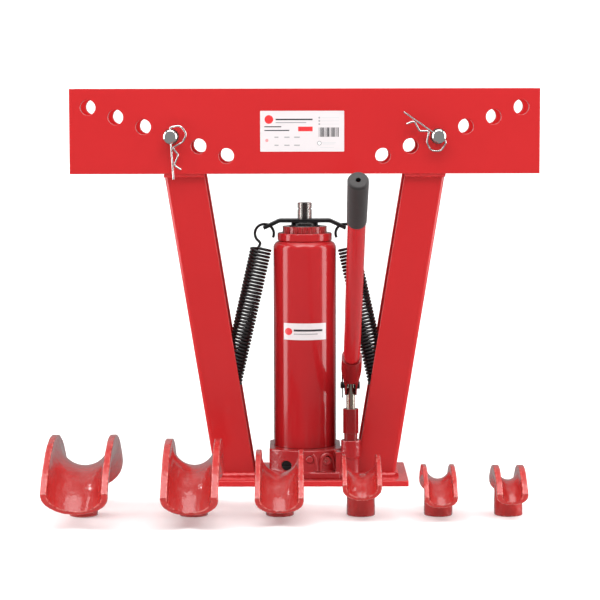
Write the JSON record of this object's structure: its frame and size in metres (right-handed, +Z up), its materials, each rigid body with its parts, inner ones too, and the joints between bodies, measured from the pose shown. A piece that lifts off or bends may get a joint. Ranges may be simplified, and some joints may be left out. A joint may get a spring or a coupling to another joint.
{
  "type": "hydraulic pipe bender",
  "caption": "Upright hydraulic pipe bender: V frame between two drilled cross plates, long bottle jack with return springs, rollers on clipped pins, and loose grooved bending dies.",
  "frame": {"origin": "on the floor, under the ram's axis", "axes": "+X along the cross plates to the operator's right, +Y away from the operator, +Z up"},
  "size_m": [0.5909, 0.4722, 0.496],
  "materials": {
    "red_paint": "gloss",
    "red_die_paint": "gloss",
    "red_weld": "gloss, rough bead",
    "steel": "satin",
    "zinc": "bright zinc",
    "black_oxide": "black oxide",
    "spring_black": "black, semi-gloss",
    "grip_rubber": "matte",
    "seal_rubber": "matte",
    "label": "printed film",
    "honed_steel": "honed"
  },
  "bodies": {
    "frame": {"base_plate": "red_paint", "leg_left": "red_paint", "leg_right": "red_paint", "cross_plate_front": "red_paint", "cross_plate_rear": "red_paint", "plate_welds": "red_weld", "foot_welds": "red_weld", "spring_anchor_left": "zinc", "spring_anchor_right": "zinc", "plate_label": "label", "jack_base": "red_paint", "jack_bolts": "zinc", "cylinder_liner": "honed_steel", "reservoir_tube": "red_paint", "fill_plug": "seal_rubber", "tank_nut": "red_paint", "gland_nut": "red_paint", "ram_wiper": "seal_rubber", "relief_plug": "red_paint", "check_plug": "red_paint", "jack_label": "label", "return_spring_left": "spring_black", "return_spring_right": "spring_black", "pump_barrel": "red_paint", "pump_wiper": "seal_rubber", "fulcrum_post": "red_paint", "fulcrum_pin": "black_oxide", "fulcrum_bolt": "zinc"},
    "ram": {"ram": "steel", "piston": "honed_steel", "piston_cup": "seal_rubber", "spring_bracket": "black_oxide"},
    "plunger": {"pump_plunger": "steel", "pump_pin": "black_oxide", "pump_pin_clip": "zinc"},
    "lever": {"handle_socket": "red_paint"},
    "handle": {"handle_tube": "red_paint", "handle_grip": "grip_rubber"},
    "release_valve": {"release_valve": "black_oxide"},
    "roller_left": {"roller_left": "steel"},
    "roller_right": {"roller_right": "steel"},
    "pin_left": {"roller_pin_left": "steel", "roller_clip_left": "zinc"},
    "pin_right": {"roller_pin_right": "steel", "roller_clip_right": "zinc"},
    "die_2_inch": {"die_2_inch": "red_die_paint"},
    "die_1_1_2_inch": {"die_1_1_2_inch": "red_die_paint"},
    "die_1_1_4_inch": {"die_1_1_4_inch": "red_die_paint"},
    "die_1_inch": {"die_1_inch": "red_die_paint"},
    "die_3_4_inch": {"die_3_4_inch": "red_die_paint"},
    "die_1_2_inch": {"die_1_2_inch": "red_die_paint"}
  },
  "joints": [
    {"name": "ram_lift", "type": "slide", "parent": "frame", "child": "ram", "axis": [0, 0, 1], "range_m": [0, 0.18], "stiffness_N_per_m": 1200, "springref_m": -0.03, "deforming": ["return_spring_left", "return_spring_right"]},
    {"name": "handle_swing", "type": "hinge", "parent": "frame", "child": "lever", "pos_m": [0.0575, -0.02382, 0.11879], "axis": [1, 0, 0], "range_deg": [-6, 36]},
    {"name": "pump_stroke", "type": "slide", "parent": "frame", "child": "plunger", "axis": [0, 0, 1], "range_m": [-0.0153, 0.0028]},
    {"name": "handle_pull_out", "type": "slide", "parent": "lever", "child": "handle", "axis": [0, -0.788, 0.6157], "range_m": [0, 0.03]},
    {"name": "release_turn", "type": "hinge", "parent": "frame", "child": "release_valve", "pos_m": [-0.0232, -0.05, 0.0235], "axis": [0, -1, 0], "range_deg": [0, 360]},
    {"name": "roller_spin_left", "type": "hinge", "parent": "frame", "child": "roller_left", "pos_m": [-0.1664, 0, 0.4366], "axis": [0, 1, 0], "continuous": true},
    {"name": "pin_turn_left", "type": "hinge", "parent": "frame", "child": "pin_left", "pos_m": [-0.1664, 0, 0.4366], "axis": [0, 1, 0], "continuous": true},
    {"name": "roller_spin_right", "type": "hinge", "parent": "frame", "child": "roller_right", "pos_m": [0.1664, 0, 0.4366], "axis": [0, 1, 0], "continuous": true},
    {"name": "pin_turn_right", "type": "hinge", "parent": "frame", "child": "pin_right", "pos_m": [0.1664, 0, 0.4366], "axis": [0, 1, 0], "continuous": true},
    {"name": "die_2_inch_lift", "type": "slide", "parent": "frame", "child": "die_2_inch", "axis": [0, 0, 1], "range_m": [0, 0.03]},
    {"name": "die_1_1_2_inch_lift", "type": "slide", "parent": "frame", "child": "die_1_1_2_inch", "axis": [0, 0, 1], "range_m": [0, 0.03]},
    {"name": "die_1_1_4_inch_lift", "type": "slide", "parent": "frame", "child": "die_1_1_4_inch", "axis": [0, 0, 1], "range_m": [0, 0.03]},
    {"name": "die_1_inch_lift", "type": "slide", "parent": "frame", "child": "die_1_inch", "axis": [0, 0, 1], "range_m": [0, 0.03]},
    {"name": "die_3_4_inch_lift", "type": "slide", "parent": "frame", "child": "die_3_4_inch", "axis": [0, 0, 1], "range_m": [0, 0.03]},
    {"name": "die_1_2_inch_lift", "type": "slide", "parent": "frame", "child": "die_1_2_inch", "axis": [0, 0, 1], "range_m": [0, 0.03]}
  ],
  "couplings": [
    {"joint": "pump_stroke", "follows": "handle_swing", "m_per_rad": -0.02405}
  ]
}
